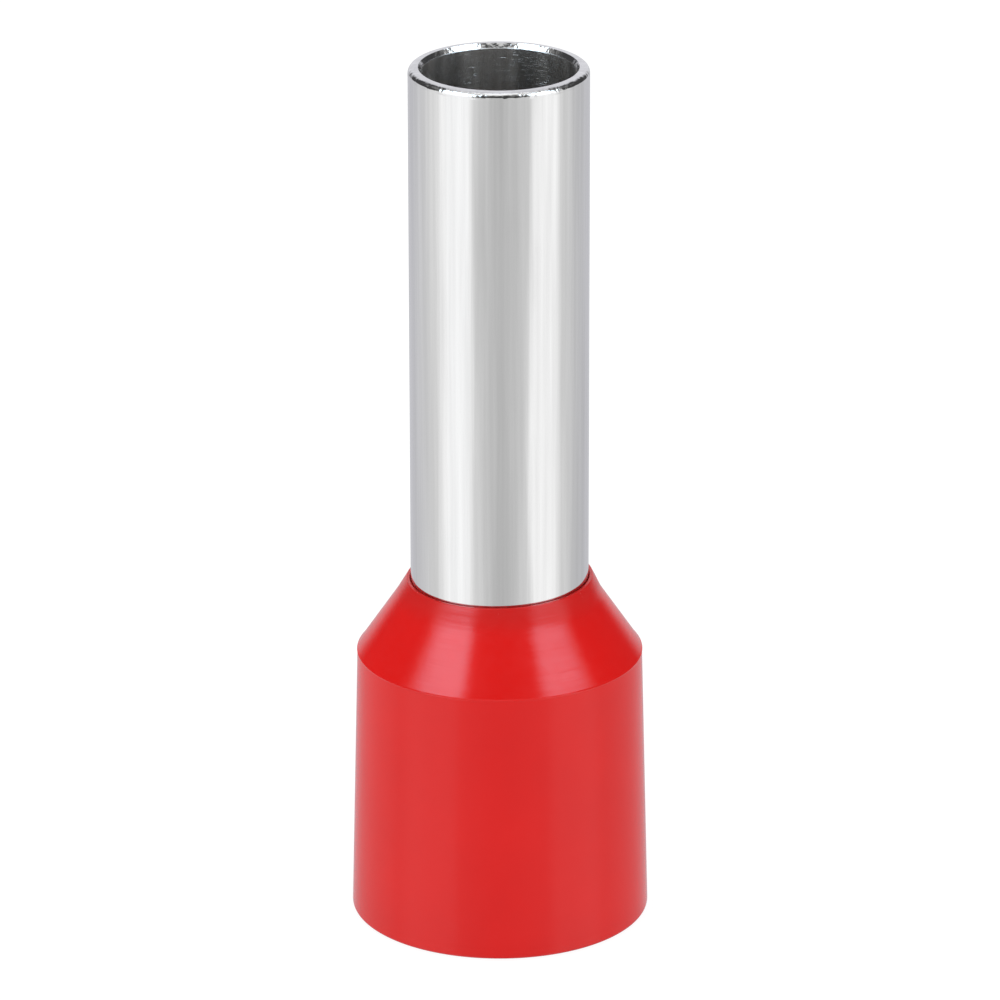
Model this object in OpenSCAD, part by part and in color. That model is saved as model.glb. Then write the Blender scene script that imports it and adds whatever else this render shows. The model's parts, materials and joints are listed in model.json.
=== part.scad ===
// Insulated wire ferrule (bootlace ferrule) for 6 mm2 stranded wire.
// A drawn, tinned copper tube takes the bare strands. Its lower end is flared
// and sits in the shoulder of a moulded collar, which takes the wire's insulation.
// The collar's mouth lies on the XY plane, and the tube points along +Z.

/* [Tube] */
// Inside diameter of the tube, where the bare strands go
tube_bore = 3.4; // [3:0.05:3.8]
// Wall thickness of the tube
tube_wall = 0.31; // [0.26:0.01:0.45]
// Length of tube that stands out of the collar
tube_exposed = 12; // [8:0.5:18]
// Radius on the outer edge of the free end
rim_round = 0.14; // [0.02:0.01:0.16]
// Width of the deburring chamfer inside the free end
rim_chamfer_w = 0.08; // [0.01:0.01:0.1]
// Depth of the deburring chamfer inside the free end
rim_chamfer_h = 0.11; // [0.02:0.01:0.4]

/* [Flare] */
// Half angle of the taper by which the tube widens inside the collar's neck
grip_angle = 2; // [1:0.5:4]
// Bend radius on the outside of the tube, where its flare begins
flare_bend = 0.3; // [0.05:0.05:0.5]
// Width of the collar's funnel that shows around the flare's rim
flare_ledge = 0.3; // [0.15:0.05:0.5]
// Radius on both edges of the flare's rim
flare_rim_round = 0.06; // [0.01:0.01:0.09]

/* [Collar] */
// Height of the collar, from its mouth to the end of its neck
collar_h = 8; // [6:0.25:12]
// Inside diameter of the collar, where the wire's insulation goes
insulation_bore = 5.8; // [5.4:0.1:7]
// Wall thickness at the mouth
mouth_wall = 0.49; // [0.35:0.01:0.8]
// Radius on the mouth's outer edge
mouth_round = 0.08; // [0.02:0.01:0.15]
// Width of the lead-in chamfer inside the mouth
lead_in_w = 0.12; // [0.02:0.01:0.15]
// Height of the lead-in chamfer inside the mouth
lead_in_h = 0.3; // [0.1:0.05:1]

/* [Shoulder] */
// Wall thickness at the foot of the shoulder, which the draft leaves thinner
shoulder_wall = 0.335; // [0.25:0.005:0.6]
// Half angle of the shoulder, and of the funnel inside it
shoulder_angle = 34; // [25:1:45]
// Wall thickness of the shoulder, square to its surface
cone_wall = 0.42; // [0.3:0.01:0.6]
// Radius where the shoulder meets the body
shoulder_round = 0.08; // [0.02:0.01:0.6]
// Radius where the funnel meets the insulation bore
funnel_round = 0.2; // [0.05:0.05:0.5]

/* [Neck] */
// Half angle of the neck, which is steeper than the shoulder
neck_angle = 28; // [15:1:33]
// Width of the neck's slope, seen along the axis
neck_slope_w = 0.24; // [0.1:0.01:0.4]
// Radius of the blend from the shoulder to the neck
neck_blend = 1; // [0.2:0.1:2]
// Wall thickness at the end of the neck
neck_lip = 0.09; // [0.08:0.01:0.2]
// Radius on the neck's outer edge
neck_outer_round = 0.03; // [0.01:0.01:0.04]
// Radius on the neck's inner edge, next to the tube
neck_inner_round = 0.03; // [0.01:0.01:0.04]

/* [Fit] */
// Gap between the tube and the collar, at the neck and along the flare
fit_clearance = 0.01; // [0.005:0.005:0.04]

/* [Hidden] */
$fn = 128;

// Largest turn that one straight step of a rounded corner makes
arc_step = 8;

bore_r = tube_bore / 2;
tube_r = bore_r + tube_wall;
rim_z = collar_h + tube_exposed;

insulation_r = insulation_bore / 2;
mouth_r = insulation_r + mouth_wall;
shoulder_r = insulation_r + shoulder_wall;
neck_bore_r = tube_r + fit_clearance / cos(grip_angle);
neck_r = neck_bore_r + neck_lip;

// The shoulder runs from its foot up to the steeper neck
neck_foot_r = neck_r + neck_slope_w;
neck_foot_z = collar_h - neck_slope_w / tan(neck_angle);
shoulder_z = neck_foot_z - (shoulder_r - neck_foot_r) / tan(shoulder_angle);

// The funnel runs inside the shoulder, one cone_wall in from its surface
funnel_foot_r = shoulder_r - cone_wall / cos(shoulder_angle);
function funnel_z(r) = shoulder_z + (funnel_foot_r - r) / tan(shoulder_angle);
seat_z = funnel_z(insulation_r);

// The flare's outer face lies one clearance inside the funnel
flare_gap = fit_clearance / cos(shoulder_angle);
flare_r = insulation_r - flare_ledge;
flare_z = funnel_z(flare_r + flare_gap);
// The bend lies where the taper, which starts at the neck's end, meets the flare
bend_z = (funnel_foot_r - flare_gap - tube_r
          + shoulder_z * tan(shoulder_angle) - collar_h * tan(grip_angle))
         / (tan(shoulder_angle) - tan(grip_angle));
bend_r = tube_r + (collar_h - bend_z) * tan(grip_angle);

grip_start = [tube_r, collar_h];
bend = [bend_r, bend_z];
flare_end = [flare_r, flare_z];

// A corner moved by d, square to its two faces, which lean from the axis by a and b
function moved(corner, a, b, d) =
    corner + d * [cos((a + b) / 2), sin((a + b) / 2)] / cos((b - a) / 2);

function unit(v) = v / norm(v);
function turned(v, angle) =
    [v.x * cos(angle) - v.y * sin(angle), v.x * sin(angle) + v.y * cos(angle)];

// Points of the arc of radius r that rounds corner b, between a and c
function rounded(a, b, c, r) =
    let (u = unit(a - b), v = unit(c - b), half = acos(u * v) / 2,
         centre = b + unit(u + v) * r / sin(half),
         start = b + u * r / tan(half) - centre,
         sweep = (180 - 2 * half) * sign(u.y * v.x - u.x * v.y),
         steps = max(1, ceil(abs(sweep) / arc_step)))
    [for (i = [0:steps]) centre + turned(start, sweep * i / steps)];

// A closed outline from corners [[r, z], radius], where radius 0 stays sharp
function outline(corners) =
    let (n = len(corners))
    [for (i = [0:n - 1])
        let (a = corners[(i + n - 1) % n][0], b = corners[i][0], c = corners[(i + 1) % n][0])
        each corners[i][1] > 0 ? rounded(a, b, c, corners[i][1]) : [b]];

// Drawn copper tube: deburred rim at the top, flared end at the bottom
module crimp_tube() {
    color([0.78, 0.78, 0.8])
        rotate_extrude()
            polygon(outline([
                [flare_end, flare_rim_round],
                [bend, flare_bend],
                [grip_start, 0],
                [[tube_r, rim_z], rim_round],
                [[bore_r + rim_chamfer_w, rim_z], 0],
                [[bore_r, rim_z - rim_chamfer_h], 0],
                [moved(grip_start, 0, grip_angle, -tube_wall), 0],
                [moved(bend, grip_angle, shoulder_angle, -tube_wall), flare_bend + tube_wall],
                [moved(flare_end, shoulder_angle, shoulder_angle, -tube_wall), flare_rim_round]
            ]));
}

// Moulded collar: mouth and drafted body below, shoulder and neck above
module insulating_collar() {
    color([0.85, 0.15, 0.15])
        rotate_extrude()
            polygon(outline([
                [[insulation_r + lead_in_w, 0], 0],
                [[mouth_r, 0], mouth_round],
                [[shoulder_r, shoulder_z], shoulder_round],
                [[neck_foot_r, neck_foot_z], neck_blend],
                [[neck_r, collar_h], neck_outer_round],
                [[neck_bore_r, collar_h], neck_inner_round],
                [moved(bend, grip_angle, shoulder_angle, fit_clearance),
                 flare_bend - fit_clearance],
                [[insulation_r, seat_z], funnel_round],
                [[insulation_r, lead_in_h], 0]
            ]));
}

crimp_tube();
insulating_collar();
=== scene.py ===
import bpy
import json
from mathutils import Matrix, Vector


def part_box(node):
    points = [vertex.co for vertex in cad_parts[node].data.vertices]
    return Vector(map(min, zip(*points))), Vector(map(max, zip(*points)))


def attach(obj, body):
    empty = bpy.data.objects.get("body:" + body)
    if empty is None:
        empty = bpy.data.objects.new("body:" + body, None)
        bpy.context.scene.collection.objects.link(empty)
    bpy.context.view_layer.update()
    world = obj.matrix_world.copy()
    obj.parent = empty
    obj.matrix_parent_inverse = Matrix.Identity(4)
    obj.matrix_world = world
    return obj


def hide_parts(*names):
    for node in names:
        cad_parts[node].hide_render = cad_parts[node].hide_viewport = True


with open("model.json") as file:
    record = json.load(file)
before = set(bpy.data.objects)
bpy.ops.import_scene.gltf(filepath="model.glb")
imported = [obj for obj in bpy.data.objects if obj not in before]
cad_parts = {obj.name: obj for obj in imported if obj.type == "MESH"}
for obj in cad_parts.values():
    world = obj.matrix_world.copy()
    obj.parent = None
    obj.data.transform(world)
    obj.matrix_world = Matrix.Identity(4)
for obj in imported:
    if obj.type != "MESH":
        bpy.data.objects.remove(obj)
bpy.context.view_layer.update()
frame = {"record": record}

import json
import math

import bpy


# ---- Crimp tube ------------------------------------------------------------
# A copper tube, drawn through a die, cut to length, deburred at its free end
# and flared at the end inside the collar, then plated with bright tin.
# It is pressed into the collar's neck, which grips it.

MM = 0.001

mounts = {mount["name"]: mount for mount in frame["record"]["mounts"]}


def mount_span(name):
    """Radius, lower end and upper end of a round mount, in mm."""
    mount = mounts[name]
    middle, half = mount["pos_m"][2] / MM, mount["dims"]["length_mm"] / 2
    return mount["dims"]["r_mm"], middle - half, middle + half


bore_r = mount_span("strand_bore")[0]
tube_r, collar_top, _ = mount_span("terminal_pin")
rim_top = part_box("crimp_tube")[1].z / MM
tube_wall = tube_r - bore_r
rim_round = 0.14  # outer edge of the free end
rim_chamfer = (0.08, 0.11)  # width and depth of the deburring inside it
rim_foot = rim_top - rim_round
grip_angle = 2  # half angle, in degrees, of the slight taper in the neck
flare_angle = 34  # half angle of the flare, and of the shoulder outside it
flare_bend = 0.3
flare_rim_round = 0.06
flare_ledge = 0.3  # collar's funnel that shows round the flare
fit_clearance = 0.01  # between the tube and the collar
segments = 256  # round each turned piece
sharp_fold = math.radians(20)  # an edge that folds more than this looks crisp

# The collar's sizes that the flare follows, because it seats in the funnel
insulation_r = mount_span("insulation_bore")[0]
mouth_wall = 0.49
shoulder_wall = 0.335
cone_wall = 0.42
neck_angle = 28
neck_slope_w = 0.24
neck_lip = 0.09


def slope(angle):
    """How far a face that leans from the axis moves out for each mm down."""
    return math.tan(math.radians(angle))


def across(angle):
    """Thickness square to a leaning face, for each mm square to the axis."""
    return math.cos(math.radians(angle))


shoulder_r = insulation_r + shoulder_wall
neck_bore_r = tube_r + fit_clearance / across(grip_angle)
neck_r = neck_bore_r + neck_lip
neck_foot_r = neck_r + neck_slope_w
neck_foot_z = collar_top - neck_slope_w / slope(neck_angle)
shoulder_z = neck_foot_z - (shoulder_r - neck_foot_r) / slope(flare_angle)
funnel_foot_r = shoulder_r - cone_wall / across(flare_angle)


def funnel_z(r):
    """Height of the collar's funnel at radius r."""
    return shoulder_z + (funnel_foot_r - r) / slope(flare_angle)


flare_gap = fit_clearance / across(flare_angle)
flare_r = insulation_r - flare_ledge
bend_z = ((funnel_foot_r - flare_gap - tube_r + shoulder_z * slope(flare_angle)
           - collar_top * slope(grip_angle))
          / (slope(flare_angle) - slope(grip_angle)))
grip_start = (tube_r, collar_top)
bend = (tube_r + (collar_top - bend_z) * slope(grip_angle), bend_z)
flare_end = (flare_r, funnel_z(flare_r + flare_gap))


def moved(corner, lean_a, lean_b, distance):
    """A corner moved square to its two faces, which lean from the axis."""
    middle = math.radians(lean_a + lean_b) / 2
    reach = distance / math.cos(math.radians(lean_b - lean_a) / 2)
    return (corner[0] + reach * math.cos(middle), corner[1] + reach * math.sin(middle))


def rounded_section(corners, arc_step=4, row=0.4):
    """Half-section through corners ((r, z), rounding), all in mm.

    Roundings get a point every arc_step degrees. Straight runs get points
    about a row apart, and closer together near their ends, so that shading
    stays true there."""
    arcs = []
    for i, (corner, rounding) in enumerate(corners):
        before, after = corners[i - 1][0], corners[(i + 1) % len(corners)][0]
        if not rounding:
            arcs.append([corner])
            continue
        (ux, uz), (vx, vz) = (
            ((p[0] - corner[0]) / math.dist(p, corner),
             (p[1] - corner[1]) / math.dist(p, corner))
            for p in (before, after))
        half = math.acos(max(-1, min(1, ux * vx + uz * vz))) / 2
        bisector = math.hypot(ux + vx, uz + vz)
        centre = (corner[0] + (ux + vx) / bisector * rounding / math.sin(half),
                  corner[1] + (uz + vz) / bisector * rounding / math.sin(half))
        start = (corner[0] + ux * rounding / math.tan(half) - centre[0],
                 corner[1] + uz * rounding / math.tan(half) - centre[1])
        sweep = math.copysign(math.pi - 2 * half, uz * vx - ux * vz)
        steps = max(2, math.ceil(abs(math.degrees(sweep)) / arc_step))
        arcs.append([(centre[0] + start[0] * math.cos(t) - start[1] * math.sin(t),
                      centre[1] + start[0] * math.sin(t) + start[1] * math.cos(t))
                     for t in (sweep * k / steps for k in range(steps + 1))])
    points = []
    for i, arc in enumerate(arcs):
        points += arc
        (r0, z0), (r1, z1) = arc[-1], arcs[(i + 1) % len(arcs)][0]
        rows = 4 + int(math.dist((r0, z0), (r1, z1)) / row)
        for k in range(1, rows):
            share = (1 - math.cos(math.pi * k / rows)) / 2
            points.append((r0 + (r1 - r0) * share, z0 + (z1 - z0) * share))
    return points


def add(tree, kind, inputs=None, **settings):
    """Adds a node with its settings, and its inputs as values or as links.

    A Mix node's inputs go by number: 0 is its factor, 2 and 3 are its two
    values, and 6 and 7 its two colours."""
    node = tree.nodes.new(kind)
    for name, value in settings.items():
        setattr(node, name, value)
    for name, value in (inputs or {}).items():
        if isinstance(value, bpy.types.NodeSocket):
            tree.links.new(value, node.inputs[name])
        else:
            node.inputs[name].default_value = value
    return node


def linear(hex_colour):
    """An sRGB hex colour as linear red, green, blue and alpha."""
    channels = [int(hex_colour[i:i + 2], 16) / 255 for i in (1, 3, 5)]
    return [c / 12.92 if c <= 0.04045 else ((c + 0.055) / 1.055) ** 2.4
            for c in channels] + [1.0]


def bare_material(name):
    """A new material and its node tree, still empty."""
    material = bpy.data.materials.new(name)
    material.use_nodes = True
    material.node_tree.nodes.clear()
    return material, material.node_tree


# Turning a half-section about the axis. The unevenness is what drawing or
# moulding leaves in a round piece, and the tilt is a neck trimmed off square.
turning = bpy.data.node_groups.new("turned_about_axis", "GeometryNodeTree")
for label, kind in (("Section", "Geometry"), ("Path radius", "Float"), ("Segments", "Int"),
                    ("Unevenness", "Float"), ("Inset", "Float"), ("Unevenness per metre", "Float"),
                    ("Unevenness stretch", "Float"), ("Seed", "Float"), ("Tilt", "Float"),
                    ("Tilt from", "Float"), ("Tilt to", "Float"), ("Sharp from", "Float"),
                    ("Inner radius", "Float"), ("Outside", "Material"), ("Inside", "Material")):
    turning.interface.new_socket(label, in_out="INPUT", socket_type="NodeSocket" + kind)
turning.interface.new_socket("Piece", in_out="OUTPUT", socket_type="NodeSocketGeometry")
sizes = add(turning, "NodeGroupInput").outputs
line = add(turning, "GeometryNodeMeshToCurve", {"Mesh": sizes["Section"]})
path = add(turning, "GeometryNodeCurvePrimitiveCircle",
           {"Resolution": sizes["Segments"], "Radius": sizes["Path radius"]})
swept = add(turning, "GeometryNodeCurveToMesh",
            {"Curve": path.outputs["Curve"], "Profile Curve": line.outputs["Curve"]})
place = add(turning, "GeometryNodeInputPosition")
parts = add(turning, "ShaderNodeSeparateXYZ", {"Vector": place.outputs["Position"]})
stretched_z = add(turning, "ShaderNodeMath",
                  {0: parts.outputs["Z"], 1: sizes["Unevenness stretch"]}, operation="MULTIPLY")
stretched = add(turning, "ShaderNodeCombineXYZ",
                {"X": parts.outputs["X"], "Y": parts.outputs["Y"], "Z": stretched_z.outputs[0]})
waves = add(turning, "ShaderNodeTexNoise",
            {"Vector": stretched.outputs[0], "W": sizes["Seed"],
             "Scale": sizes["Unevenness per metre"], "Detail": 2.0}, noise_dimensions="4D")
centred = add(turning, "ShaderNodeMath", {0: waves.outputs[0], 1: 0.5}, operation="SUBTRACT")
swing = add(turning, "ShaderNodeMath", {0: centred.outputs[0], 1: sizes["Unevenness"]},
            operation="MULTIPLY")
outward = add(turning, "ShaderNodeMath", {0: swing.outputs[0], 1: sizes["Inset"]},
              operation="SUBTRACT")
radial = add(turning, "ShaderNodeCombineXYZ", {"X": parts.outputs["X"], "Y": parts.outputs["Y"]})
outwards = add(turning, "ShaderNodeVectorMath", {0: radial.outputs[0]}, operation="NORMALIZE")
radius = add(turning, "ShaderNodeVectorMath", {0: radial.outputs[0]}, operation="LENGTH")
shift = add(turning, "ShaderNodeVectorMath",
            {0: outwards.outputs[0], "Scale": outward.outputs[0]}, operation="SCALE")
near_end = add(turning, "ShaderNodeMapRange",
               {"Value": parts.outputs["Z"], "From Min": sizes["Tilt from"],
                "From Max": sizes["Tilt to"]}, interpolation_type="SMOOTHSTEP")
lean = add(turning, "ShaderNodeMath", {0: parts.outputs["X"], 1: sizes["Tilt"]},
           operation="MULTIPLY")
lift = add(turning, "ShaderNodeMath", {0: lean.outputs[0], 1: near_end.outputs["Result"]},
           operation="MULTIPLY")
raised = add(turning, "ShaderNodeCombineXYZ", {"Z": lift.outputs[0]})
offset = add(turning, "ShaderNodeVectorMath", {0: shift.outputs[0], 1: raised.outputs[0]},
             operation="ADD")
uneven = add(turning, "GeometryNodeSetPosition",
             {"Geometry": swept.outputs["Mesh"], "Offset": offset.outputs[0]})
smooth = add(turning, "GeometryNodeSetShadeSmooth", {"Geometry": uneven.outputs["Geometry"]},
             domain="FACE")
fold = add(turning, "GeometryNodeInputMeshEdgeAngle")
crisp = add(turning, "ShaderNodeMath", {0: fold.outputs["Unsigned Angle"],
                                        1: sizes["Sharp from"]}, operation="GREATER_THAN")
edged = add(turning, "GeometryNodeSetShadeSmooth",
            {"Geometry": smooth.outputs["Geometry"], "Selection": crisp.outputs[0],
             "Shade Smooth": False}, domain="EDGE")
real = add(turning, "GeometryNodeRealizeInstances", {"Geometry": edged.outputs["Geometry"]})
outer = add(turning, "GeometryNodeSetMaterial",
            {"Geometry": real.outputs["Geometry"], "Material": sizes["Outside"]})
within = add(turning, "ShaderNodeMath", {0: radius.outputs["Value"],
                                         1: sizes["Inner radius"]}, operation="LESS_THAN")
inner = add(turning, "GeometryNodeSetMaterial",
            {"Geometry": outer.outputs["Geometry"], "Selection": within.outputs[0],
             "Material": sizes["Inside"]})
add(turning, "NodeGroupOutput", {"Piece": inner.outputs["Geometry"]})


def turned_piece(name, section, values):
    """The half-section, in mm, turned about the axis into one plain mesh."""
    path_radius = values["Path radius"]
    # Curve to Mesh lays the section's x outwards and its y downwards
    mesh = bpy.data.meshes.new(name)
    mesh.from_pydata([(r * MM - path_radius, -z * MM, 0) for r, z in reversed(section)],
                     [(i, (i + 1) % len(section)) for i in range(len(section))], [])
    piece = bpy.data.objects.new(name, mesh)
    bpy.context.scene.collection.objects.link(piece)
    modifier = piece.modifiers.new("turning", "NODES")
    modifier.node_group = turning
    sockets = {s.name: s.identifier for s in turning.interface.items_tree
               if s.in_out == "INPUT"}
    for label, value in values.items():
        modifier[sockets[label]] = value
    evaluated = piece.evaluated_get(bpy.context.evaluated_depsgraph_get())
    plain = bpy.data.meshes.new_from_object(
        evaluated, depsgraph=bpy.context.evaluated_depsgraph_get())
    piece.modifiers.clear()
    piece.data = plain
    plain.name = name
    return piece


tube_section = rounded_section([
    (flare_end, flare_rim_round),
    (bend, flare_bend),
    (grip_start, 0),
    ((tube_r, rim_top), rim_round),
    ((bore_r + rim_chamfer[0], rim_top), 0),
    ((bore_r, rim_top - rim_chamfer[1]), 0),
    (moved(grip_start, 0, grip_angle, -tube_wall), 0),
    (moved(bend, grip_angle, flare_angle, -tube_wall), flare_bend + tube_wall),
    (moved(flare_end, flare_angle, flare_angle, -tube_wall), flare_rim_round),
])

# Bright tin on drawn copper: a soft mirror, with faint lines along the tube
# that the die left. Shallow dents make its reflections waver, and cloudy
# patches of the plating blur them.
tin, t = bare_material("bright_tin_on_drawn_copper")
at = add(t, "ShaderNodeTexCoord")
in_mm = add(t, "ShaderNodeVectorMath", {0: at.outputs["Object"], "Scale": 1 / MM},
            operation="SCALE")
along = add(t, "ShaderNodeMapping", {"Vector": in_mm.outputs[0], "Scale": (1, 1, 0.02)})
# Die lines are about 0.01 mm apart, and drawn 0.1 mm apart so that they show,
# over streaks 0.4 mm wide that the die left as it wore
die_lines = add(t, "ShaderNodeTexNoise", {"Vector": along.outputs[0], "Scale": 10.0,
                                          "Detail": 3.0, "Roughness": 0.65})
streaks = add(t, "ShaderNodeTexNoise", {"Vector": along.outputs[0], "Scale": 2.5,
                                        "Detail": 2.0})
lines_and_streaks = add(t, "ShaderNodeMix", {0: 0.3, 2: streaks.outputs[0],
                                             3: die_lines.outputs[0]}, data_type="FLOAT")
tone = add(t, "ShaderNodeValToRGB", {"Fac": lines_and_streaks.outputs[0]})
tone.color_ramp.elements[0].position, tone.color_ramp.elements[1].position = 0.35, 0.65
tone.color_ramp.elements[0].color = linear("#D6D6D6")
tone.color_ramp.elements[1].color = linear("#E8E8E8")
dullness = add(t, "ShaderNodeMapRange", {"Value": streaks.outputs[0], "From Min": 0.3,
                                         "From Max": 0.7, "To Min": 0.07, "To Max": 0.11})
# Clouds in the plating, 1 to 2 mm long, and dents from straightening, 7 mm long
lengthways = add(t, "ShaderNodeMapping", {"Vector": in_mm.outputs[0], "Scale": (1, 1, 0.4)})
clouds = add(t, "ShaderNodeTexNoise", {"Vector": lengthways.outputs[0], "Scale": 1.4,
                                       "Detail": 3.0})
clouded = add(t, "ShaderNodeMapRange", {"Value": clouds.outputs[0], "From Min": 0.5,
                                        "From Max": 0.68, "To Min": 0.0, "To Max": 0.09})
dulled = add(t, "ShaderNodeMath", {0: dullness.outputs["Result"],
                                   1: clouded.outputs["Result"]}, operation="ADD")
long_way = add(t, "ShaderNodeMapping", {"Vector": in_mm.outputs[0], "Scale": (1, 1, 0.16)})
dents = add(t, "ShaderNodeTexNoise", {"Vector": long_way.outputs[0], "Scale": 0.9,
                                      "Detail": 1.0})
# Deburring leaves shallow facets, 0.1 to 0.2 mm wide, on the rounded free end
height = add(t, "ShaderNodeSeparateXYZ", {"Vector": in_mm.outputs[0]})
at_rim = add(t, "ShaderNodeMapRange", {"Value": height.outputs["Z"],
                                       "From Min": rim_foot - 0.02,
                                       "From Max": rim_foot + 0.04})
facets = add(t, "ShaderNodeTexNoise", {"Vector": in_mm.outputs[0], "Scale": 6.0,
                                       "Detail": 2.0})
rim_relief = add(t, "ShaderNodeMath", {0: facets.outputs[0], 1: at_rim.outputs["Result"]},
                 operation="MULTIPLY")
dents_bump = add(t, "ShaderNodeBump", {"Height": dents.outputs[0], "Strength": 1.0,
                                       "Distance": 0.03 * MM})
lines_bump = add(t, "ShaderNodeBump", {"Height": die_lines.outputs[0], "Strength": 1.0,
                                       "Distance": 0.001 * MM,
                                       "Normal": dents_bump.outputs["Normal"]})
rim_bump = add(t, "ShaderNodeBump", {"Height": rim_relief.outputs[0], "Strength": 1.0,
                                     "Distance": 0.02 * MM,
                                     "Normal": lines_bump.outputs["Normal"]})
# The deburring tool cuts the free end bright
polish = add(t, "ShaderNodeMath", {0: at_rim.outputs["Result"], 1: -0.05,
                                   2: dulled.outputs[0]}, operation="MULTIPLY_ADD")
shader = add(t, "ShaderNodeBsdfPrincipled",
             {"Base Color": tone.outputs["Color"], "Metallic": 1.0,
              "Roughness": polish.outputs[0], "Normal": rim_bump.outputs["Normal"]})
add(t, "ShaderNodeOutputMaterial", {"Surface": shader.outputs[0]})

# Dull tin in the bore: the plating is thin and rough there, with scratches
# round it from the deburring tool, so it looks dark grey.
bore_tin, t = bare_material("dull_scratched_tin_in_bore")
at = add(t, "ShaderNodeTexCoord")
in_mm = add(t, "ShaderNodeVectorMath", {0: at.outputs["Object"], "Scale": 1 / MM},
            operation="SCALE")
# The mandrel leaves dull and clear bands, 0.2 to 0.6 mm wide, along the bore.
# The location was picked to darken the bore's left with them, a painted shade there.
along = add(t, "ShaderNodeMapping", {"Vector": in_mm.outputs[0], "Scale": (1, 1, 0.05),
                                     "Location": (11.3, 0, 0)})
bands = add(t, "ShaderNodeTexNoise", {"Vector": along.outputs[0], "Scale": 1.6,
                                      "Detail": 2.0})
tone = add(t, "ShaderNodeValToRGB", {"Fac": bands.outputs[0]})
tone.color_ramp.elements[0].position, tone.color_ramp.elements[1].position = 0.4, 0.62
tone.color_ramp.elements[0].color = linear("#A7A5A3")
tone.color_ramp.elements[1].color = linear("#ECE9E6")
# Scratches 0.02 mm wide and about ten times as long, a little off square, in patches
round_it = add(t, "ShaderNodeMapping", {"Vector": in_mm.outputs[0], "Scale": (1, 1, 22),
                                        "Rotation": (0, math.radians(6), 0)})
strokes = add(t, "ShaderNodeTexNoise", {"Vector": round_it.outputs[0], "Scale": 4.0,
                                        "Detail": 3.0, "Roughness": 0.6})
scratches = add(t, "ShaderNodeMapRange", {"Value": strokes.outputs[0], "From Min": 0.63,
                                          "From Max": 0.68})
patches = add(t, "ShaderNodeTexNoise", {"Vector": in_mm.outputs[0], "Scale": 1.3,
                                        "Detail": 2.0})
in_patch = add(t, "ShaderNodeMapRange", {"Value": patches.outputs[0], "From Min": 0.6,
                                         "From Max": 0.7, "To Max": 0.6})
# The deburring tool chattered in two places: where, in mm, and how far round it
chatter = in_patch.outputs["Result"]
for spot, reach in (((0.85, 1.47, 19.5), 0.4), ((-0.7, 1.55, 19.35), 0.25)):
    away = add(t, "ShaderNodeVectorMath", {0: in_mm.outputs[0], 1: spot}, operation="DISTANCE")
    near = add(t, "ShaderNodeMapRange", {"Value": away.outputs["Value"], "From Min": reach / 2,
                                         "From Max": reach, "To Min": 1.0, "To Max": 0.0})
    chatter = add(t, "ShaderNodeMath", {0: chatter, 1: near.outputs["Result"]},
                  operation="MAXIMUM").outputs[0]
scored = add(t, "ShaderNodeMath", {0: scratches.outputs["Result"], 1: chatter},
             operation="MULTIPLY")
dullness = add(t, "ShaderNodeMapRange", {"Value": strokes.outputs[0], "From Min": 0.35,
                                         "From Max": 0.65, "To Min": 0.28, "To Max": 0.4})
skin_bump = add(t, "ShaderNodeBump", {"Height": strokes.outputs[0], "Strength": 1.0,
                                      "Distance": 0.002 * MM})
bump = add(t, "ShaderNodeBump", {"Height": scored.outputs[0], "Strength": 1.0,
                                 "Distance": 0.012 * MM, "Normal": skin_bump.outputs["Normal"]})
shader = add(t, "ShaderNodeBsdfPrincipled",
             {"Base Color": tone.outputs["Color"], "Metallic": 1.0,
              "Roughness": dullness.outputs["Result"], "Normal": bump.outputs["Normal"]})
add(t, "ShaderNodeOutputMaterial", {"Surface": shader.outputs[0]})

# The dull tin ends a quarter of the way out over the deburred edge
tube = turned_piece("drawn_tube", tube_section, {
    "Path radius": 2 * MM, "Segments": segments, "Unevenness": 0.016 * MM, "Inset": 0.0,
    "Unevenness per metre": 300.0, "Unevenness stretch": 0.25, "Seed": 3.0,
    "Tilt": 0.0, "Tilt from": 0.0, "Tilt to": 1.0, "Sharp from": sharp_fold,
    "Inner radius": (bore_r + rim_chamfer[0] / 4) * MM, "Outside": tin, "Inside": bore_tin})
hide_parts("crimp_tube")
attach(tube, "root")


# ---- Insulating collar -----------------------------------------------------
# Polypropylene, injection moulded in one shot: a mouth for the wire's
# insulation, a slightly drafted body, a conical shoulder and a thin neck.
# The tube is pressed in from the mouth until its flare meets the shoulder.

mouth_r = insulation_r + mouth_wall
mouth_round = 0.08
lead_in = (0.12, 0.3)  # width and height of the chamfer inside the mouth
funnel_round = 0.2
# Line at the shoulder's foot where the mould's halves meet: height and half width
parting_line = (0.009, 0.026)
parting_rounds = (0.01, 0.008)  # both edges of that line, and its crest
neck_blend = 1.0
neck_tilt = 1.1  # degrees by which the neck's end is off square
neck_gap = (0.024, 0.05)  # width and depth of the gap round the tube at the neck's end
neck_rounds = (0.03, 0.02)  # outer and inner edge of the neck's end


def on_slope(foot, lean, z):
    """The point at height z of a face that leans in from foot."""
    return foot[0] - (z - foot[1]) * slope(lean), z


draft_angle = math.degrees(math.atan2(mouth_r - shoulder_r, shoulder_z))
shoulder_foot, neck_foot = (shoulder_r, shoulder_z), (neck_foot_r, neck_foot_z)

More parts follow.
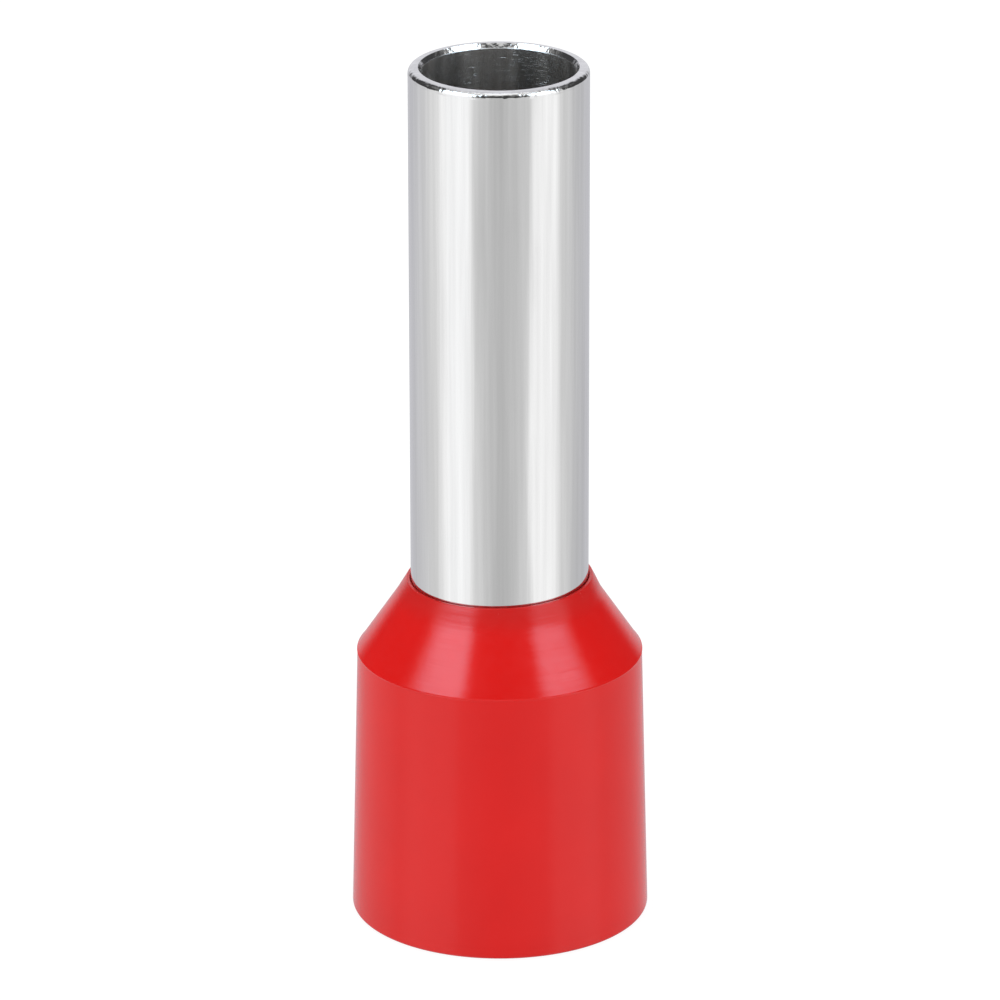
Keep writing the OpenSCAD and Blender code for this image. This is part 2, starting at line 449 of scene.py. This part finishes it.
collar_section = rounded_section([
    ((insulation_r + lead_in[0], 0), 0),
    ((mouth_r, 0), mouth_round),
    (on_slope(shoulder_foot, draft_angle, shoulder_z - parting_line[1]), parting_rounds[0]),
    (moved(shoulder_foot, draft_angle, flare_angle, parting_line[0]), parting_rounds[1]),
    (on_slope(shoulder_foot, flare_angle, shoulder_z + parting_line[1]), parting_rounds[0]),
    (neck_foot, neck_blend),
    ((neck_r, collar_top), neck_rounds[0]),
    ((neck_bore_r + neck_gap[0], collar_top), neck_rounds[1]),
    ((neck_bore_r + neck_gap[1] * slope(grip_angle), collar_top - neck_gap[1]), 0),
    (moved(bend, grip_angle, flare_angle, fit_clearance), flare_bend - fit_clearance),
    ((insulation_r, funnel_z(insulation_r)), funnel_round),
    ((insulation_r, lead_in[1]), 0),
])

# Moulded polypropylene: a satin skin over a deep, even red. The mould's
# turning marks ring the shoulder, and a fine grain breaks up the highlights.
skin, t = bare_material("moulded_red_polypropylene")
at = add(t, "ShaderNodeTexCoord")
in_mm = add(t, "ShaderNodeVectorMath", {0: at.outputs["Object"], "Scale": 1 / MM},
            operation="SCALE")
height = add(t, "ShaderNodeSeparateXYZ", {"Vector": in_mm.outputs[0]})
# Pigment that is not quite even, in clouds about 2 mm across
clouding = add(t, "ShaderNodeTexNoise", {"Vector": in_mm.outputs[0], "Scale": 0.5,
                                         "Detail": 2.0})
tone = add(t, "ShaderNodeValToRGB", {"Fac": clouding.outputs[0]})
tone.color_ramp.elements[0].position, tone.color_ramp.elements[1].position = 0.3, 0.7
tone.color_ramp.elements[0].color = linear("#DB120F")
tone.color_ramp.elements[1].color = linear("#E11411")
# Turning marks 0.1 to 0.4 mm apart, only on the shoulder, over whose foot they fade in
rings_fade = 0.15
ring_at = add(t, "ShaderNodeMapping", {"Vector": in_mm.outputs[0], "Scale": (0.05, 0.05, 1)})
rings = add(t, "ShaderNodeTexNoise", {"Vector": ring_at.outputs[0], "Scale": 4.0,
                                      "Detail": 3.0, "Roughness": 0.6})
on_shoulder = add(t, "ShaderNodeMapRange", {"Value": height.outputs["Z"],
                                            "From Min": shoulder_z,
                                            "From Max": shoulder_z + rings_fade})
ring_relief = add(t, "ShaderNodeMath", {0: rings.outputs[0],
                                        1: on_shoulder.outputs["Result"]},
                  operation="MULTIPLY")
# The mould's grain is finer than 0.1 mm, and drawn at 0.2 mm so that it shows
grain = add(t, "ShaderNodeTexNoise", {"Vector": in_mm.outputs[0], "Scale": 5.0,
                                      "Detail": 3.0, "Roughness": 0.6})
gloss = add(t, "ShaderNodeMapRange", {"Value": grain.outputs[0], "From Min": 0.3,
                                      "From Max": 0.7, "To Min": 0.14, "To Max": 0.2})
ring_bump = add(t, "ShaderNodeBump", {"Height": ring_relief.outputs[0], "Strength": 1.0,
                                      "Distance": 0.011 * MM})
grain_bump = add(t, "ShaderNodeBump", {"Height": grain.outputs[0], "Strength": 1.0,
                                       "Distance": 0.0015 * MM,
                                       "Normal": ring_bump.outputs["Normal"]})
# The neck's red is darkened, a painted shade from the tube beside it, and its skin is
# duller where the sleeve that pushes the collar out of its mould has rubbed it. Both begin a
# little below the neck's foot.
neck_fade = 0.25
on_neck = add(t, "ShaderNodeMapRange", {"Value": height.outputs["Z"],
                                        "From Min": neck_foot_z - neck_fade,
                                        "From Max": collar_top},
              interpolation_type="SMOOTHSTEP")
# Painted shade: the red darkens towards the neck's end, beside the tube
red_and_painted_neck_shade = add(t, "ShaderNodeMix", {0: on_neck.outputs["Result"], 6: tone.outputs["Color"],
                               7: linear("#CF1815")}, data_type="RGBA")
rubbed = add(t, "ShaderNodeMath", {0: on_neck.outputs["Result"], 1: 0.08,
                                   2: gloss.outputs["Result"]}, operation="MULTIPLY_ADD")
shader = add(t, "ShaderNodeBsdfPrincipled",
             {"Base Color": red_and_painted_neck_shade.outputs[2], "Metallic": 0.0, "IOR": 1.49,
              "Specular IOR Level": 0.38,
              "Roughness": rubbed.outputs[0], "Normal": grain_bump.outputs["Normal"]})
add(t, "ShaderNodeOutputMaterial", {"Surface": shader.outputs[0]})

# The inset keeps the uneven skin inside the true size
collar = turned_piece("moulded_collar", collar_section, {
    "Path radius": 3 * MM, "Segments": segments, "Unevenness": 0.004 * MM, "Inset": 0.006 * MM,
    "Unevenness per metre": 220.0, "Unevenness stretch": 0.5, "Seed": 11.0,
    "Tilt": slope(neck_tilt), "Tilt from": neck_foot_z * MM, "Tilt to": collar_top * MM,
    "Sharp from": sharp_fold, "Inner radius": 0.0, "Outside": skin, "Inside": skin})
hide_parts("insulating_collar")
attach(collar, "root")


# ---- Floor -----------------------------------------------------------------
# A plain pale sweep under the ferrule, just below its mouth. It looks white,
# and keeps the soft shadow where the mouth meets it.

floor_reach = 400 * MM
floor_drop = 0.01 * MM  # below the mouth, so that the two don't share a face
own_light = 0.8  # share of the white that takes no shadow
floor_mesh = bpy.data.meshes.new("floor")
floor_mesh.from_pydata([(x * floor_reach, y * floor_reach, -floor_drop)
                        for x, y in ((-1, -1), (1, -1), (1, 1), (-1, 1))], [], [(0, 1, 2, 3)])
floor = bpy.data.objects.new("floor", floor_mesh)
bpy.context.scene.collection.objects.link(floor)
paper, t = bare_material("matt_white_paper")
# 1 for rays from the camera, mirrored or through glass as well, and 0 for those
# that light a matt surface
ray = add(t, "ShaderNodeLightPath")
seen = add(t, "ShaderNodeMath", {0: ray.outputs["Is Camera Ray"],
                                 1: ray.outputs["Is Glossy Ray"]}, operation="MAXIMUM")
seen_too = add(t, "ShaderNodeMath", {0: seen.outputs[0],
                                     1: ray.outputs["Is Transmission Ray"]},
               operation="MAXIMUM")
share = add(t, "ShaderNodeMath", {0: seen_too.outputs[0], 1: own_light},
            operation="MULTIPLY")
matt = add(t, "ShaderNodeBsdfDiffuse", {"Color": linear("#EEEEEE")})
white = add(t, "ShaderNodeEmission", {"Color": linear("#FFFFFF"), "Strength": 1.12})
both = add(t, "ShaderNodeMixShader", {0: share.outputs[0], 1: matt.outputs[0],
                                      2: white.outputs[0]})
# Seen from below it is clear, so that the inside of the mouth shows
below = add(t, "ShaderNodeNewGeometry")
clear = add(t, "ShaderNodeBsdfTransparent")
top_only = add(t, "ShaderNodeMixShader", {0: below.outputs["Backfacing"], 1: both.outputs[0],
                                          2: clear.outputs[0]})
add(t, "ShaderNodeOutputMaterial", {"Surface": top_only.outputs[0]})
floor_mesh.materials.append(paper)
# Shiny walls mirror the studio below the horizon, as past the edge of a small sweep
floor.visible_glossy = False


# ---- Studio light ----------------------------------------------------------
# Even light all round. Only shiny surfaces show what makes it up: a tall soft
# panel on each side of the camera, brighter higher up, a room that is dark
# above the horizon except at the back, and a pale ceiling with a lamp.

world = bpy.data.worlds.new("studio")
bpy.context.scene.world = world
world.use_nodes = True
world.node_tree.nodes.clear()
t = world.node_tree
way = add(t, "ShaderNodeTexCoord")
axes = add(t, "ShaderNodeSeparateXYZ", {"Vector": way.outputs["Generated"]})
towards = add(t, "ShaderNodeMath", {0: axes.outputs["Y"], 1: -1.0}, operation="MULTIPLY")
# Bearing 0 is where the camera stands, and positive bearings are on its right
bearing = add(t, "ShaderNodeMath", {0: axes.outputs["X"], 1: towards.outputs[0]},
              operation="ARCTAN2")
turned_away = add(t, "ShaderNodeMath", {0: bearing.outputs[0]}, operation="ABSOLUTE")
upwards = add(t, "ShaderNodeMapRange", {"Value": axes.outputs["Z"], "From Min": -0.18,
                                        "From Max": 0.0}, interpolation_type="SMOOTHSTEP")
# Room light away from the panels: even below the horizon, and above it dark
# except at the back
low_room = add(t, "ShaderNodeMapRange", {"Value": turned_away.outputs[0],
                                         "From Min": math.radians(100),
                                         "From Max": math.radians(165), "To Min": 0.62,
                                         "To Max": 0.66}, interpolation_type="SMOOTHSTEP")
high_room = add(t, "ShaderNodeMapRange", {"Value": turned_away.outputs[0],
                                          "From Min": math.radians(137),
                                          "From Max": math.radians(162), "To Min": 0.06,
                                          "To Max": 0.86}, interpolation_type="SMOOTHSTEP")
room = add(t, "ShaderNodeMix", {0: upwards.outputs["Result"],
                                2: low_room.outputs["Result"],
                                3: high_room.outputs["Result"]}, data_type="FLOAT")
glow = room.outputs[0]
# The panels are far brighter high up, where the shoulder mirrors them, than
# nearer the horizon, where the rim's rounding does
high_up = add(t, "ShaderNodeMapRange", {"Value": axes.outputs["Z"], "From Min": 0.4,
                                        "From Max": 0.64}, interpolation_type="SMOOTHSTEP")
# Side, the degrees from the camera at which a light begins, is full, begins to
# fade and ends, then its strength below the horizon, above it, and high up
lights = (
    (-1, 30, 39, 68, 90, 0.39, 1.8, 6.6),  # face of the left panel
    (1, 35, 47.5, 74, 92, 0.39, 1.6, 5.2),  # face of the right panel
    (-1, 0, 36, 80, 132, 0.23, 0.0, 0.26),  # weak glow round the left panel
    (1, 0, 44, 80, 138, 0.19, 0.0, 0.26),  # weak glow round the right panel
    (-1, 86, 100, 124, 140, 0.09, 0.0, 0.0),  # light from the room on the left
)
for side, begins, full, fades, ends, low, middle, high in lights:
    off = add(t, "ShaderNodeMath", {0: bearing.outputs[0], 1: side}, operation="MULTIPLY")
    near_edge = add(t, "ShaderNodeMapRange", {"Value": off.outputs[0],
                                              "From Min": math.radians(begins),
                                              "From Max": math.radians(full)},
                    interpolation_type="SMOOTHSTEP")
    far_edge = add(t, "ShaderNodeMapRange", {"Value": off.outputs[0],
                                             "From Min": math.radians(fades),
                                             "From Max": math.radians(ends),
                                             "To Min": 1.0, "To Max": 0.0},
                   interpolation_type="SMOOTHSTEP")
    face = add(t, "ShaderNodeMath", {0: near_edge.outputs["Result"],
                                     1: far_edge.outputs["Result"]}, operation="MULTIPLY")
    up_to_middle = add(t, "ShaderNodeMapRange", {"Value": upwards.outputs["Result"],
                                                 "To Min": low, "To Max": middle})
    level = add(t, "ShaderNodeMapRange", {"Value": high_up.outputs["Result"],
                                          "To Min": up_to_middle.outputs["Result"],
                                          "To Max": high})
    panel = add(t, "ShaderNodeMath", {0: face.outputs[0],
                                      1: level.outputs["Result"]}, operation="MULTIPLY")
    glow = add(t, "ShaderNodeMath", {0: glow, 1: panel.outputs[0]},
               operation="ADD").outputs[0]
# The panels end below a plain pale ceiling, with a lamp straight overhead
ceiling = add(t, "ShaderNodeMapRange", {"Value": axes.outputs["Z"], "From Min": 0.76,
                                        "From Max": 0.88}, interpolation_type="SMOOTHSTEP")
glow = add(t, "ShaderNodeMix", {0: ceiling.outputs["Result"], 2: glow, 3: 0.8},
           data_type="FLOAT").outputs[0]
overhead = add(t, "ShaderNodeMapRange", {"Value": axes.outputs["Z"], "From Min": 0.9,
                                         "From Max": 0.98, "To Min": 0.0, "To Max": 1.3},
               interpolation_type="SMOOTHSTEP")
glow = add(t, "ShaderNodeMath", {0: glow, 1: overhead.outputs["Result"]},
           operation="MAXIMUM").outputs[0]
# The room is a trace cooler at the back
cool = add(t, "ShaderNodeMapRange", {"Value": turned_away.outputs[0],
                                     "From Min": math.radians(95),
                                     "From Max": math.radians(150)})
tint = add(t, "ShaderNodeMix", {0: cool.outputs["Result"], 6: linear("#FFFFFF"),
                                7: linear("#F9F9FF")}, data_type="RGBA")
# The lamps in the panels are a little cooler than the room
lamp_share = add(t, "ShaderNodeMapRange", {"Value": glow, "From Min": 1.2, "From Max": 3.0})
lit = add(t, "ShaderNodeMix", {0: lamp_share.outputs["Result"], 6: tint.outputs[2],
                               7: linear("#D4ECFF")}, data_type="RGBA")
# The same rays as on the floor show the panels, and the others the even light
ray = add(t, "ShaderNodeLightPath")
seen = add(t, "ShaderNodeMath", {0: ray.outputs["Is Camera Ray"],
                                 1: ray.outputs["Is Glossy Ray"]}, operation="MAXIMUM")
seen_too = add(t, "ShaderNodeMath", {0: seen.outputs[0],
                                     1: ray.outputs["Is Transmission Ray"]},
               operation="MAXIMUM")
# The camera itself sees plain white
strength = add(t, "ShaderNodeMix", {0: ray.outputs["Is Camera Ray"], 2: glow, 3: 1.0},
               data_type="FLOAT")
hue = add(t, "ShaderNodeMix", {0: ray.outputs["Is Camera Ray"], 6: lit.outputs[2],
                               7: linear("#FFFFFF")}, data_type="RGBA")
shown = add(t, "ShaderNodeBackground", {"Color": hue.outputs[2],
                                        "Strength": strength.outputs[0]})
# The room is a little lighter on the left
from_left = add(t, "ShaderNodeMapRange", {"Value": axes.outputs["X"], "From Min": -1.0,
                                          "From Max": 1.0, "To Min": 1.12, "To Max": 0.96})
even = add(t, "ShaderNodeBackground", {"Color": linear("#FFFFFF"),
                                       "Strength": from_left.outputs["Result"]})
split = add(t, "ShaderNodeMixShader", {0: seen_too.outputs[0], 1: even.outputs[0],
                                       2: shown.outputs[0]})
add(t, "ShaderNodeOutputWorld", {"Surface": split.outputs[0]})
bpy.context.scene.view_settings.view_transform = "Standard"


# ---- Camera ----------------------------------------------------------------
# A long lens, a little above the ferrule and level with its axis, so that the
# rim and the mouth show as shallow ellipses.

elevation = math.radians(20.7)
distance = 159.1 * MM
aim_x, aim_z = 0.012 * MM, 9.805 * MM
roll = math.radians(-0.095)
lens = bpy.data.cameras.new("studio_camera")
lens.lens = 254.5
lens.clip_start, lens.clip_end = 1 * MM, 2.0
camera = bpy.data.objects.new("studio_camera", lens)
camera.location = (aim_x, -distance * math.cos(elevation),
                   aim_z + distance * math.sin(elevation))
camera.rotation_euler = (math.pi / 2 - elevation, 0, 0)
camera.rotation_euler.rotate_axis("Z", roll)
bpy.context.scene.collection.objects.link(camera)
bpy.context.scene.camera = camera
